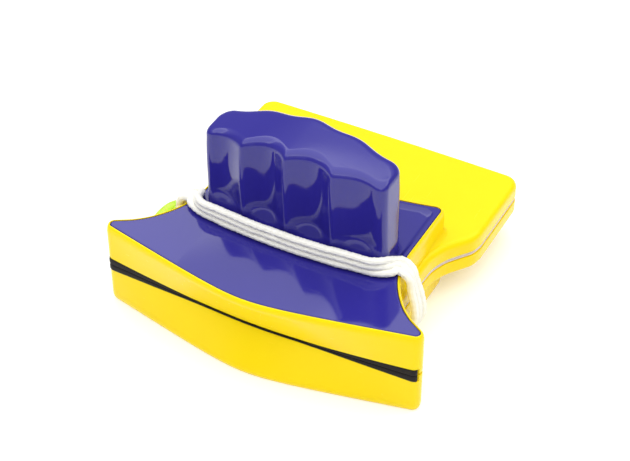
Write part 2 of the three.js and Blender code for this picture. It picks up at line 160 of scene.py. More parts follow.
def cord_tube(name, line, radius, sides=24):
    """A braided tube along a line in millimetres, with the run along it and round it as its UV map."""
    yarns, pitch, relief, unevenness = 4, 2.8, 0.1, 0.07
    bm = bmesh.new()
    uv = bm.loops.layers.uv.new("UVMap")
    up = Vector((0, 0, 1))
    rings = []
    run = 0
    for i, point in enumerate(line):
        along = (line[min(i + 1, len(line) - 1)] - line[max(i - 1, 0)]).normalized()
        up = (up - along * up.dot(along)).normalized()
        across = along.cross(up)
        run += (point - line[i - 1]).length if i else 0
        ring = []
        for j in range(sides):
            angle = 2 * math.pi * j / sides
            left = math.cos(yarns * angle + 2 * math.pi * run / pitch)
            right = math.cos(yarns * angle - 2 * math.pi * run / pitch)
            out = across * math.cos(angle) + up * math.sin(angle)
            tuft = noise.noise(point * 0.9 + out * 0.8)
            swell = 1 + relief * (left * right + 0.4 * max(left, right) - 0.3) + unevenness * tuft
            ring.append(bm.verts.new((point + out * radius * swell) * MM))
        rings.append((ring, run))
    for (low, low_run), (high, high_run) in zip(rings, rings[1:]):
        for j in range(sides):
            k = (j + 1) % sides
            face = bm.faces.new((low[j], low[k], high[k], high[j]))
            corners = ((low_run, j), (low_run, j + 1), (high_run, j + 1), (high_run, j))
            for loop, (u, v) in zip(face.loops, corners):
                loop[uv].uv = (u / (2 * math.pi * radius), v / sides)
    for ring, end in ((rings[0][0], -1), (rings[-1][0], 1)):
        bm.faces.new(ring[::-1] if end < 0 else ring)
    bmesh.ops.recalc_face_normals(bm, faces=bm.faces)
    mesh = bpy.data.meshes.new(name)
    bm.to_mesh(mesh)
    bm.free()
    mesh.shade_smooth()
    return new_piece(name, mesh)


def in_frame(point):
    """A point of the halves' own frame, in millimetres, as a point of the whole cleaner."""
    return point + Vector((0, FIRST_Y, GLASS_Z))


def node_group(name, inputs, outputs):
    """An empty shader node group with float inputs and outputs, and its two end nodes."""
    group = bpy.data.node_groups.new(name, "ShaderNodeTree")
    for label, value in inputs.items():
        socket = group.interface.new_socket(name=label, in_out="INPUT", socket_type="NodeSocketFloat")
        socket.default_value = value
    for label in outputs:
        group.interface.new_socket(name=label, in_out="OUTPUT", socket_type="NodeSocketFloat")
    return group, group.nodes.new("NodeGroupInput"), group.nodes.new("NodeGroupOutput")


def math_node(tree, operation, *values, clamp=False):
    """A Math node. A value that is a socket is linked, and a number is set."""
    node = tree.nodes.new("ShaderNodeMath")
    node.operation = operation
    node.use_clamp = clamp
    for i, value in enumerate(values):
        if isinstance(value, bpy.types.NodeSocket):
            tree.links.new(value, node.inputs[i])
        else:
            node.inputs[i].default_value = value
    return node.outputs[0]


def noise_node(tree, vector, scale, detail=2.0, roughness=0.5):
    node = tree.nodes.new("ShaderNodeTexNoise")
    for label, value in (("Vector", vector), ("Scale", scale), ("Detail", detail), ("Roughness", roughness)):
        if isinstance(value, bpy.types.NodeSocket):
            tree.links.new(value, node.inputs[label])
        else:
            node.inputs[label].default_value = value
    return node.outputs["Fac"]


def material_of(name, dark, light, roughness, **sockets):
    """A Principled material whose base colour runs between two colours, with a Bump node ready."""
    material = bpy.data.materials.new(name)
    material.use_nodes = True
    tree = material.node_tree
    shader = tree.nodes["Principled BSDF"]
    shader.inputs["Roughness"].default_value = roughness
    for label, value in sockets.items():
        shader.inputs[label.replace("_", " ")].default_value = value
    mix = tree.nodes.new("ShaderNodeMix")
    mix.data_type = "RGBA"
    mix.inputs["A"].default_value = (*dark, 1)
    mix.inputs["B"].default_value = (*light, 1)
    tree.links.new(mix.outputs["Result"], shader.inputs["Base Color"])
    bump = tree.nodes.new("ShaderNodeBump")
    tree.links.new(bump.outputs["Normal"], shader.inputs["Normal"])
    return material, tree, shader, mix, bump


def braid_group():
    """Crossing yarns on a cord's UV map, with finer fibres on them."""
    group, start, end = node_group("braid", {"Turns": 4.0, "Steepness": 10.0}, ("Yarn", "Height"))
    uv = group.nodes.new("ShaderNodeUVMap")
    uv.uv_map = "UVMap"
    split = group.nodes.new("ShaderNodeSeparateXYZ")
    group.links.new(uv.outputs["UV"], split.inputs[0])
    run = math_node(group, "MULTIPLY", split.outputs["X"], start.outputs["Steepness"])
    turn = math_node(group, "MULTIPLY", split.outputs["Y"], start.outputs["Turns"])
    turn = math_node(group, "MULTIPLY", turn, 2 * math.pi)
    left = math_node(group, "SINE", math_node(group, "ADD", turn, run))
    right = math_node(group, "SINE", math_node(group, "SUBTRACT", turn, run))
    yarn = math_node(group, "MULTIPLY_ADD", math_node(group, "MULTIPLY", left, right), 0.5, 0.5)
    stretch = group.nodes.new("ShaderNodeMapping")
    stretch.inputs["Scale"].default_value = (6, 40, 1)
    group.links.new(uv.outputs["UV"], stretch.inputs["Vector"])
    fibre = noise_node(group, stretch.outputs["Vector"], 1.6, 4.0, 0.65)
    group.links.new(yarn, end.inputs["Yarn"])
    group.links.new(math_node(group, "MULTIPLY_ADD", fibre, 0.55, yarn), end.inputs["Height"])
    return group


cotton, tree, shader, mix, bump = material_of(
    "cord_cotton", (0.92, 0.90, 0.79), (0.98, 0.97, 0.90), 0.92, Sheen_Weight=0.35, Sheen_Roughness=0.5)
braid = tree.nodes.new("ShaderNodeGroup")
braid.node_tree = braid_group()
soil = noise_node(tree, tree.nodes.new("ShaderNodeTexCoord").outputs["Object"], 160, 3)
# Painted shade: the braid's yarn pattern makes the colour darker in the dips between the yarns and lighter on
# their crowns. The soil noise added to it is random dirt.
painted_yarn_shade = math_node(tree, "MULTIPLY", braid.outputs["Yarn"], 0.55)
soil_and_painted_yarn_shade = math_node(tree, "MULTIPLY_ADD", soil, 0.8, painted_yarn_shade)
tree.links.new(soil_and_painted_yarn_shade, mix.inputs["Factor"])
tree.links.new(braid.outputs["Height"], bump.inputs["Height"])
bump.inputs["Strength"].default_value = 0.7
bump.inputs["Distance"].default_value = 0.00025

cord_line = [in_frame(point) for point in wandering(smooth_line(cord_route(), CORD_SPACING))]
cord = cord_tube("braided_cord", cord_line, CORD_RADIUS * 1.07)
cord.data.materials.append(cotton)

# The knot that stops the cord behind the eyelet: the cord's own end, pulled into a tight overhand knot.
knot_centre = in_frame(Vector((-48.2, 50.3, -13)))
knot_line = []
for i in range(97):
    t = 2 * math.pi * i / 96
    lobe_x = math.sin(t) + 2 * math.sin(2 * t)
    lobe_z = math.cos(t) - 2 * math.cos(2 * t)
    knot_line.append(knot_centre + Vector((lobe_x, math.sin(3 * t) * 1.2, lobe_z)) * 0.5)
knot = cord_tube("stopper_knot", knot_line, 1.15, 14)
knot.data.materials.append(cotton)

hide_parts("safety_cord")
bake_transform(cord)
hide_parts("cord_knot")
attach(knot, "lower_half")

# ---- Finger ring --------------------------------------------------------------------------------
# A ring of clear lime plastic for one finger, moulded in two halves with a faint flash line round it. The
# cord's end is wound round it twice and tucked in.
RING_CENTRE = Vector((-56.2, 28, -0.6))
RING_YAW = math.radians(15)
RING_RADIUS = 10.9
RING_SECTION = 2.1
ring_turn = Matrix.Rotation(-RING_YAW, 4, "Z")
bm = bmesh.new()
section = bmesh.ops.create_circle(bm, segments=24, radius=RING_SECTION * MM)["verts"]
for vertex in section:
    flash = 1.035 if abs(vertex.co.y) < 1e-6 else 1
    vertex.co.x *= flash
bmesh.ops.rotate(bm, verts=section, cent=(0, 0, 0), matrix=Matrix.Rotation(math.radians(90), 3, "X"))
bmesh.ops.translate(bm, verts=section, vec=(RING_RADIUS * MM, 0, 0))
bmesh.ops.spin(bm, geom=bm.verts[:] + bm.edges[:], cent=(0, 0, 0), axis=(0, 0, 1), angle=2 * math.pi,
               steps=72, use_merge=True)
bmesh.ops.rotate(bm, verts=bm.verts, cent=(0, 0, 0), matrix=Matrix.Rotation(math.radians(90), 3, "Y"))
bmesh.ops.rotate(bm, verts=bm.verts, cent=(0, 0, 0), matrix=ring_turn.to_3x3())
bmesh.ops.translate(bm, verts=bm.verts, vec=in_frame(RING_CENTRE) * MM)
bmesh.ops.recalc_face_normals(bm, faces=bm.faces)
mesh = bpy.data.meshes.new("lime_ring")
bm.to_mesh(mesh)
bm.free()
mesh.shade_smooth()
ring = new_piece("lime_ring", mesh)


def moulding_group():
    """Slow shade changes, fine surface grain and thin handling scratches of a polished moulding."""
    group, start, end = node_group(
        "moulded_plastic", {"Grain": 1400.0, "Scratch Amount": 0.5, "Roughness": 0.2, "Spread": 0.1},
        ("Shade", "Roughness", "Height"))
    place = group.nodes.new("ShaderNodeTexCoord").outputs["Object"]
    cloud = noise_node(group, place, 38, 3)
    grain = noise_node(group, place, start.outputs["Grain"], 2)
    scratch = None
    for turn, stretch in ((0.5, (55, 1900, 900)), (2.1, (1700, 45, 800))):
        mapping = group.nodes.new("ShaderNodeMapping")
        mapping.inputs["Rotation"].default_value = (0.2, 0.1, turn)
        mapping.inputs["Scale"].default_value = stretch
        group.links.new(place, mapping.inputs["Vector"])
        line = math_node(group, "SUBTRACT", noise_node(group, mapping.outputs["Vector"], 1, 1), 0.67)
        line = math_node(group, "MULTIPLY", line, 9, clamp=True)
        scratch = line if scratch is None else math_node(group, "MAXIMUM", scratch, line)
    scratch = math_node(group, "MULTIPLY", scratch, start.outputs["Scratch Amount"])
    spread = math_node(group, "MULTIPLY", math_node(group, "SUBTRACT", cloud, 0.4), start.outputs["Spread"])
    rough = math_node(group, "ADD", start.outputs["Roughness"], spread)
    rough = math_node(group, "MULTIPLY_ADD", scratch, 0.16, rough, clamp=True)
    group.links.new(cloud, end.inputs["Shade"])
    group.links.new(rough, end.inputs["Roughness"])
    height = math_node(group, "SUBTRACT", math_node(group, "MULTIPLY", grain, 0.25), scratch)
    group.links.new(height, end.inputs["Height"])
    return group


moulded = moulding_group()


def moulded_material(name, dark, light, roughness, spread, scratches, grain=1400, bump_height=0.00001,
                     **sockets):
    """A Principled material with the moulded plastic's shade, roughness and grain in it."""
    material, tree, shader, mix, bump = material_of(name, dark, light, roughness, **sockets)
    surface = tree.nodes.new("ShaderNodeGroup")
    surface.node_tree = moulded
    for label, value in (("Grain", grain), ("Scratch Amount", scratches), ("Roughness", roughness),
                         ("Spread", spread)):
        surface.inputs[label].default_value = value
    tree.links.new(surface.outputs["Shade"], mix.inputs["Factor"])
    tree.links.new(surface.outputs["Roughness"], shader.inputs["Roughness"])
    tree.links.new(surface.outputs["Height"], bump.inputs["Height"])
    bump.inputs["Strength"].default_value = 0.5
    bump.inputs["Distance"].default_value = bump_height
    return material


ring_plastic = moulded_material(
    "lime_ring_plastic", (0.55, 0.90, 0.03), (0.72, 1.0, 0.09), 0.22, 0.1, 0.4,
    Transmission_Weight=0.35, IOR=1.49, Subsurface_Weight=0.3, Subsurface_Scale=0.002)
ring.data.materials.append(ring_plastic)

# The cord's end wound round the ring.
ring_axis = ring_turn.to_3x3() @ Vector((0, 1, 0))
ring_side = ring_turn.to_3x3() @ Vector((1, 0, 0))
tie_radius = CORD_RADIUS * 0.9
tie_line = [Vector(CORD_END[-1])]
for i in range(29):
    share = i / 28
    sweep = math.radians(14 - 26 * share)
    out = ring_axis * math.cos(sweep) + Vector((0, 0, math.sin(sweep)))
    wind = 2 * math.pi * 2.2 * share + 0.4
    wrap = ring_side * math.cos(wind) - out * math.sin(wind)
    tie_line.append(RING_CENTRE + out * RING_RADIUS + wrap * (RING_SECTION + tie_radius))
tie = cord_tube("ring_tie", [in_frame(p) for p in smooth_line(tie_line, CORD_SPACING)], tie_radius)
tie.data.materials.append(cotton)

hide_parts("finger_ring")
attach(ring, "lower_half")
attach(tie, "lower_half")

# ---- Frames -------------------------------------------------------------------------------------
# The yellow body of each half: one glossy injection moulding, an hourglass block over a thin wiping flange.
# It is drawn in the half's own frame, with z counted from the glass. The outer half is the same one turned
# over.
HALF_HEIGHT = 19
FLANGE_HEIGHT = 8
FACE_HEIGHT = 1.05
LIP_HEIGHT = 0.5
LIP_ARCH_HEIGHT = 3
LIP_ARCH_START = 20
BOW_AT_LIP = 5
BOW_AT_RIM = 13
BOW_FULL_HEIGHT = 17
FRONT_END = (64.6, -1.07)
FRONT_BEND = 14.6
RIM_WIDTH = 1.3
GAP = 0.3
WALL = 3.2
SEAT_HEIGHT = 15.3
WEB_TOP = 7.5
WEB_BOTTOM = 3.7
SCREWS = ((44, 9), (-44, 9), (36, 57), (-36, 57))
MAGNETS = ((70, 17, 9.5), (58, 20, 48.5))
UPPER = Matrix.Translation((0, FIRST_Y * MM, GLASS_Z * MM)) @ Matrix.Scale(MM, 4)
LOWER = UPPER @ Matrix.Rotation(math.pi, 4, "Y")


def arc(x, y, radius, start, end, steps):
    angles = [math.radians(start + (end - start) * i / steps) for i in range(steps + 1)]
    return [(x + radius * math.cos(a), y + radius * math.sin(a)) for a in angles]


def curve_through(points, spacing):
    return [tuple(p[:2]) for p in smooth_line([Vector((x, y, 0)) for x, y in points], spacing)]


def mirrored(half):
    return half + [(-x, y) for x, y in reversed(half) if x > 1e-6]


def front_y(x, bow):
    def bulge(distance):
        return math.hypot(distance, FRONT_BEND) - FRONT_BEND
    return -bow + (bow + FRONT_END[1]) * bulge(x) / bulge(FRONT_END[0])


def block_outline(bow):
    """The hourglass block seen from above, for a given bow of its front edge."""
    front = [(FRONT_END[0] * i / 34, front_y(FRONT_END[0] * i / 34, bow)) for i in range(34)]
    corner = arc(64.2, 2.2, 3.3, -83, 58, 14)
    side = curve_through([(60.3, 8.4), (56.2, 11.9), (52.8, 15.9), (49.9, 20.2), (47.4, 25.2), (45.8, 30.3),
                          (45.1, 37), (45.2, 50), (45.4, 66)], 1.6)
    rear = [(41 * i / 14, 65.5 + 5 * (i / 14) ** 2) for i in range(14, -1, -1)]
    return mirrored(front + corner + side + arc(41.9, 67, 3.5, 0, 80, 7) + rear)


def flange_outline():
    """The wiping flange seen from above: a narrow neck at the waist and a wide rear."""
    neck = curve_through([(46.9, 25.4), (47.25, 29), (47.2, 44), (47.8, 54), (50.4, 61), (54.2, 66.5),
                          (57.4, 71), (58.7, 76)], 1.6)
    rear = [(53 * i / 12, 114 + 0.5 * (1 - (i / 12) ** 2)) for i in range(12, -1, -1)]
    inner = [(38 * i / 6, 17) for i in range(7)]
    return mirrored(inner + neck + arc(53, 108, 6, 0, 90, 10) + rear[1:])


def moved_in(outline, distance, tidy=False):
    """The outline moved inwards. With tidy, points that come too close to the old edge are left out."""
    count = len(outline)
    points = []
    for i, (x, y) in enumerate(outline):
        (ax, ay), (bx, by) = outline[i - 1], outline[(i + 1) % count]
        size = math.hypot(bx - ax, by - ay)
        step = distance(x, y) if callable(distance) else distance
        points.append((x - (by - ay) / size * step, y + (bx - ax) / size * step))
    if tidy:
        points = [p for p in points if edge_distance(p, outline) > distance - 0.06]
    return points


def edge_distance(point, outline):
    nearest = 1e9
    for (ax, ay), (bx, by) in zip(outline, outline[1:] + outline[:1]):
        dx, dy = bx - ax, by - ay
        share = ((point[0] - ax) * dx + (point[1] - ay) * dy) / (dx * dx + dy * dy)
        share = max(0, min(1, share))
        nearest = min(nearest, math.hypot(ax + dx * share - point[0], ay + dy * share - point[1]))
    return nearest


def raised_shell(bm, rings, rungs=False):
    """A closed skin: an outline's ring of edges is extruded from one ring of points to the next.
    With rungs, the last ring is closed by quads between its two long sides."""
    ring = [bm.verts.new(p) for p in rings[0]]
    bm.faces.new(ring[::-1])
    for points in rings[1:]:
        edges = [bm.edges.get((a, b)) for a, b in zip(ring, ring[1:] + ring[:1])]
        made = bmesh.ops.extrude_edge_only(bm, edges=edges)["geom"]
        made = {v for v in made if isinstance(v, bmesh.types.BMVert)}
        ring = [next(e.other_vert(v) for e in v.link_edges if e.other_vert(v) in made) for v in ring]
        for vertex, point in zip(ring, points):
            vertex.co = point
    if rungs:
        for i in range(len(ring) // 2 - 1):
            bm.faces.new((ring[i], ring[i + 1], ring[-2 - i], ring[-1 - i]))
    else:
        bm.faces.new(ring)


def level(outline, z):
    return [(x, y, z) for x, y in outline]


def shell_object(name, *shells, rungs=False):
    bm = bmesh.new()
    for rings in shells:
        raised_shell(bm, rings, rungs)
    bmesh.ops.recalc_face_normals(bm, faces=bm.faces)
    mesh = bpy.data.meshes.new(name)
    bm.to_mesh(mesh)
    bm.free()
    return new_piece(name, mesh)


def prism(name, outline, low, high):
    return shell_object(name, [level(outline, low), level(outline, high)])


def combine(body, other, operation="DIFFERENCE"):
    """Cuts the other object out of the body, or joins it on, and throws the other object away."""
    step = body.modifiers.new("combine", "BOOLEAN")
    step.object = other
    step.operation = operation
    step.solver = "EXACT"
    bpy.context.view_layer.update()
    mesh = bpy.data.meshes.new_from_object(body.evaluated_get(bpy.context.evaluated_depsgraph_get()))
    body.modifiers.clear()
    body.data = mesh
    bpy.data.objects.remove(other)


def place(piece, matrix, material, sharp=32):
    """Puts a half's piece where it belongs, and gives it its material and its smooth and sharp edges."""
    piece.data.transform(matrix)
    if matrix.determinant() < 0:
        piece.data.flip_normals()
    piece.data.shade_smooth()
    piece.data.set_sharp_from_angle(angle=math.radians(sharp))
    piece.data.materials.clear()
    piece.data.materials.append(material)
    normals = piece.modifiers.new("even_normals", "WEIGHTED_NORMAL")
    normals.keep_sharp = True


def bow_at(z):
    return BOW_AT_LIP + min(1, (z - LIP_HEIGHT) / (BOW_FULL_HEIGHT - LIP_HEIGHT)) * (BOW_AT_RIM - BOW_AT_LIP)


def rounding(z0, z1, depth, steps):
    """Heights and insets of a rounded edge between two heights."""
    turns = [math.radians(90 * i / steps) for i in range(1, steps + 1)]
    return [(z0 + (z1 - z0) * math.sin(a), depth * (1 - math.cos(a))) for a in turns]


def turned_post(name, profile, x, y):
    """A round post from its profile of radius and height, spun about its own axis."""
    bm = bmesh.new()
    verts = [bm.verts.new((r, 0, z)) for r, z in profile]
    for a, b in zip(verts, verts[1:]):
        bm.edges.new((a, b))
    bmesh.ops.spin(bm, geom=bm.verts[:] + bm.edges[:], cent=(0, 0, 0), axis=(0, 0, 1), angle=2 * math.pi,
                   steps=32, use_merge=True)
    bmesh.ops.remove_doubles(bm, verts=bm.verts, dist=1e-4)
    bmesh.ops.recalc_face_normals(bm, faces=bm.faces)
    bmesh.ops.translate(bm, verts=bm.verts, vec=(x, y, 0))
    mesh = bpy.data.meshes.new(name)
    bm.to_mesh(mesh)
    bm.free()
    return new_piece(name, mesh)


def joined(name, objects):
    bm = bmesh.new()
    for piece in objects:
        bm.from_mesh(piece.data)
        bpy.data.objects.remove(piece)
    mesh = bpy.data.meshes.new(name)
    bm.to_mesh(mesh)
    bm.free()
    return new_piece(name, mesh)


def blade_band(grow):
    """The scraper's outline behind the front lip, or with some growth the outline of its slot."""
    reach = 64 + grow
    front = [(reach * i / 40, front_y(reach * i / 40, BOW_AT_LIP)) for i in range(-40, 41)]
    back = [(x, y + 3.2 + grow) for x, y in reversed(front)]
    return [(x, y + 1 - grow) for x, y in front] + back


def lip_top(x):
    """Height of the front lip's lower edge. It climbs in a straight line towards both corners."""
    climb = max(0, abs(x) - LIP_ARCH_START) / (65 - LIP_ARCH_START)
    return LIP_HEIGHT + climb * (LIP_ARCH_HEIGHT - LIP_HEIGHT)


def lip_arch():
    """The wedge that opens the front lip towards both corners, as a prism along Y."""
    points = [(-67.7, -2), (67.7, -2)]
    points += [(x, lip_top(x) - 0.04 * (abs(x) < 25)) for x in (67.7, 20, -20, -67.7)]
    return shell_object("lip_arch", [[(x, y, z) for x, z in points] for y in (-20.2, 0.8)])


def foot_fillet():
    """The hollow fillet between the block and the flange. It grows from the waist to the rear edge."""
    radius = 2.2
    low = FLANGE_HEIGHT - 0.6
    rings = []
    for turn in (0, 15, 30, 45, 60, 75, 90):
        rise = radius * (1 - math.cos(math.radians(turn)))
        reach = radius * (1 - math.sin(math.radians(turn)))

        def spread(x, y, reach=reach):
            share = max(0, min(1, (y - 52) / 10))
            return 0.3 - (reach + 0.3) * share * share * (3 - 2 * share)
        outline = moved_in(block_outline(bow_at(7)), spread)
        rings.append(level(outline, low + rise + (0.6 if turn else 0)))
    return shell_object("foot", rings)


def frame_moulding(name):
    """One yellow moulding: block, flange and fillet, less its opening, hollow, recesses, slot and holes."""
    rim = block_outline(BOW_AT_RIM)
    levels = [(LIP_HEIGHT, 0.35), (LIP_HEIGHT + 0.12, 0.12), (LIP_HEIGHT + 0.4, 0)]
    levels += [(2 + 2 * i, 0) for i in range(7)] + [(15.6, 0)] + rounding(15.6, HALF_HEIGHT, 1.15, 7)
    shell = [level(moved_in(block_outline(bow_at(z)), edge), z) for z, edge in levels]
    body = shell_object(name, shell)
    flange = flange_outline()
    edges = [(FACE_HEIGHT, 0.4), (FACE_HEIGHT + 0.15, 0.12), (FACE_HEIGHT + 0.5, 0), (5.4, 0)]
    edges += rounding(5.4, FLANGE_HEIGHT, 2.4, 8)
    rings = [level(moved_in(flange, edge), z) for z, edge in edges]
    combine(body, shell_object("flange", rings), "UNION")
    combine(body, foot_fillet(), "UNION")
    cloth = moved_in(flange, 1.2)
    combine(body, prism("opening", moved_in(rim, RIM_WIDTH, True), SEAT_HEIGHT, HALF_HEIGHT + 1))
    cavity = moved_in(block_outline(bow_at(WEB_TOP)), WALL, True)
    combine(body, prism("cavity", cavity, WEB_TOP, SEAT_HEIGHT + 0.5))
    combine(body, prism("pad_recess", moved_in(cloth, 2, True), -1, WEB_BOTTOM))
    combine(body, prism("cloth_recess", moved_in(cloth, -GAP), -1, FACE_HEIGHT))
    combine(body, prism("blade_slot", blade_band(GAP), -1, 6.5))
    combine(body, lip_arch())
    stepped = [(0, -0.5), (2.9, -0.5), (2.9, 5.7), (1.6, 5.7), (1.6, 8.5), (0, 8.5)]
    holes = [turned_post("hole", stepped, x, y) for x, y in SCREWS]
    for width, depth, y in MAGNETS:
        half_x, half_y = width / 2 + GAP, depth / 2 + GAP
        pocket = [(half_x, y - half_y), (half_x, y + half_y), (-half_x, y + half_y), (-half_x, y - half_y)]
        holes.append(prism("pocket", pocket, 6.7, 8.5))
    combine(body, joined("holes", holes))
    return body


yellow = moulded_material(
    "yellow_moulding", (0.90, 0.66, 0.003), (0.95, 0.71, 0.004), 0.2, 0.10, 0.45, IOR=1.45,
    Specular_Tint=(1, 0.9, 0.25, 1), Subsurface_Weight=0.06, Subsurface_Scale=0.0015)

upper_frame = frame_moulding("upper_body_moulding")
lower_frame = new_piece("lower_body_moulding", upper_frame.data.copy())
place(upper_frame, UPPER, yellow)
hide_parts("upper_frame")
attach(upper_frame, "upper_half")

# The outer half's frame also has a trough across its waist, so that the cord lies clear of the table, and an
# eyelet under the flange that holds the cord's end.
TROUGH_START = 24.6
TROUGH_END = 35.2
TROUGH_RADIUS = 3.8
TROUGH_FLOOR = 15.4


def trough():
    """The cord's trough, as a tool to cut with: rounded ends down both sides, and open below."""
    side_z = TROUGH_FLOOR - TROUGH_RADIUS
    right = [(52, side_z)] + arc(43.8, side_z, TROUGH_RADIUS, 0, 90, 10)
    points = right + [(-x, z) for x, z in reversed(right)] + [(-52, 22), (52, 22)]
    rings = [[(x, y, z) for x, z in points] for y in (TROUGH_START, TROUGH_END)]
    return shell_object("trough", rings)


eye = prism("eyelet", [(44, 43), (51, 43), (51, 46), (44, 46)], 10, 16)
bevelled = bmesh.new()
bevelled.from_mesh(eye.data)
outer_edges = [e for e in bevelled.edges if all(v.co.x > 50 for v in e.verts)]
bmesh.ops.bevel(bevelled, geom=outer_edges, offset=1.2, offset_type="OFFSET", segments=4, profile=0.5,
                affect="EDGES", material=-1)
bevelled.to_mesh(eye.data)
bevelled.free()
eye_hole = turned_post("eye_hole", [(0, -4), (1.65, -4), (1.65, 4), (0, 4)], 0, 0)
eye_hole.data.transform(Matrix.Translation((48.2, 44.5, 13)) @ Matrix.Rotation(math.radians(90), 4, "X"))
combine(eye, eye_hole)
combine(lower_frame, eye, "UNION")
combine(lower_frame, trough())
place(lower_frame, LOWER, yellow)
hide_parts("lower_frame")
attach(lower_frame, "lower_half")

# ---- Blades -------------------------------------------------------------------------------------
# A black rubber scraper stands in a slot behind the front lip of each half and follows its bow. Its ends are
# rounded, and its wiping edge is ground to a flat.
NOSE_PROUD = 0.35
NOSE_BACK = 1.5
rubber = moulded_material(
    "blade_rubber", (0.005, 0.004, 0.004), (0.016, 0.013, 0.012), 0.5, 0.2, 0.8, 900, 0.00003, IOR=1.25)


def scraper_nose(share, inset):
    """A ring of the nose that fills the gap under the lip, at a share of its height, with rounded ends."""
    front_face, back_face = inset - NOSE_PROUD, NOSE_BACK - inset
    right = [p for p in block_outline(BOW_AT_LIP) if p[1] < -0.3 and 0 <= p[0] < 66.3]
    front = [(-x, y) for x, y in reversed(right[1:])] + right
    stations = []
    for i, (x, y) in enumerate(front):
        (ax, ay), (bx, by) = front[max(i - 1, 0)], front[min(i + 1, len(front) - 1)]
        size = math.hypot(bx - ax, by - ay)
        stations.append((x, y, -(by - ay) / size, (bx - ax) / size))
    ring = [(x + in_x * front_face, y + in_y * front_face) for x, y, in_x, in_y in stations]
    x, y, in_x, in_y = stations[-1]
    middle = (front_face + back_face) / 2
    tip = [(x + in_x * depth + in_y * reach, y + in_y * depth - in_x * reach)
           for depth, reach in ((middle - 0.6, 0.45), (middle, 0.75), (middle + 0.6, 0.45))]
    ring += tip + [(x + in_x * back_face, y + in_y * back_face) for x, y, in_x, in_y in reversed(stations)]
    ring += [(-x, y) for x, y in reversed(tip)]
    return [(x, y, 0.12 + share * (lip_top(x) - 0.14)) for x, y in ring]


for half, matrix in (("upper", UPPER), ("lower", LOWER)):
    bm = bmesh.new()
    raised_shell(bm, [level(blade_band(0), z) for z in (0.15, 1.2, 3, 4.6, 6.2)])
    bmesh.ops.recalc_face_normals(bm, faces=bm.faces)
    ends = [e for e in bm.edges if all(abs(v.co.x) > 63.9 for v in e.verts)]
    bmesh.ops.bevel(bm, geom=ends, offset=0.5, offset_type="OFFSET", segments=3, profile=0.5, affect="EDGES",
                    material=-1)
    raised_shell(bm, [scraper_nose(*step) for step in ((0, 0.15), (0.2, 0), (0.8, 0), (1, 0.2))])
    mesh = bpy.data.meshes.new(half + "_scraper")
    bm.to_mesh(mesh)
    bm.free()
    blade = new_piece(half + "_scraper", mesh)
    place(blade, matrix, rubber)
    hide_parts(half + "_blade")
    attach(blade, half + "_half")

# ---- Wiping pads --------------------------------------------------------------------------------
# Each half wipes with a short-pile cloth over a sheet of foam, glued into a recess of the frame. The cloth's
# edge is turned in all round, and it stands a little proud of the frame.
cloth_material, tree, shader, mix, bump = material_of(
    "pile_cloth", (0.66, 0.53, 0.49), (0.90, 0.80, 0.76), 0.95, Sheen_Weight=0.5, Sheen_Roughness=0.45)
place_socket = tree.nodes.new("ShaderNodeTexCoord").outputs["Object"]
pile = tree.nodes.new("ShaderNodeTexVoronoi")
pile.inputs["Scale"].default_value = 1500
tree.links.new(place_socket, pile.inputs["Vector"])
tufts = math_node(tree, "MULTIPLY_ADD", noise_node(tree, place_socket, 700, 4), 0.8, pile.outputs["Distance"])
tree.links.new(math_node(tree, "MULTIPLY", tufts, 0.75, clamp=True), mix.inputs["Factor"])
tree.links.new(tufts, bump.inputs["Height"])
bump.inputs["Strength"].default_value = 0.8
bump.inputs["Distance"].default_value = 0.00025
for half, matrix in (("upper", UPPER), ("lower", LOWER)):
    outline = moved_in(flange_outline(), lambda x, y: 1.2 - 0.75 * max(0, min(1, (y - 18) / 8)))
    heights = ((0.16, 0.3), (0.2, 0.12), (0.3, 0.02), (0.55, 0), (0.72, 0.12), (0.75, 0.4))
    cloth = shell_object(half + "_wiping_cloth", [level(moved_in(outline, edge), z) for z, edge in heights])
    place(cloth, matrix, cloth_material, 50)
    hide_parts(half + "_pad_cloth")
    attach(cloth, half + "_half")

# The foam sheets stay as the CAD has them. Their open cells show wherever the cloth is lifted.
foam, tree, shader, mix, bump = material_of("foam", (0.42, 0.30, 0.15), (0.86, 0.72, 0.50), 0.95)
cells = tree.nodes.new("ShaderNodeTexVoronoi")
cells.feature = "DISTANCE_TO_EDGE"
cells.inputs["Scale"].default_value = 1100
tree.links.new(tree.nodes.new("ShaderNodeTexCoord").outputs["Object"], cells.inputs["Vector"])
walls = math_node(tree, "MULTIPLY", cells.outputs["Distance"], 2.4, clamp=True)
tree.links.new(walls, mix.inputs["Factor"])
tree.links.new(walls, bump.inputs["Height"])
bump.inputs["Distance"].default_value = 0.0003

# ---- Covers -------------------------------------------------------------------------------------
# A deep blue plate drops into the rim of each frame and is screwed on from the glass side. The inner half's
# plate and its grip are one polished moulding, and the outer half's plate has the trough for the cord.
DARK_BLUE = (0.019, 0.015, 0.215)
LIGHT_BLUE = (0.026, 0.020, 0.255)
blue = moulded_material("blue_moulding", DARK_BLUE, LIGHT_BLUE, 0.07, 0.05, 0.35, IOR=1.5)

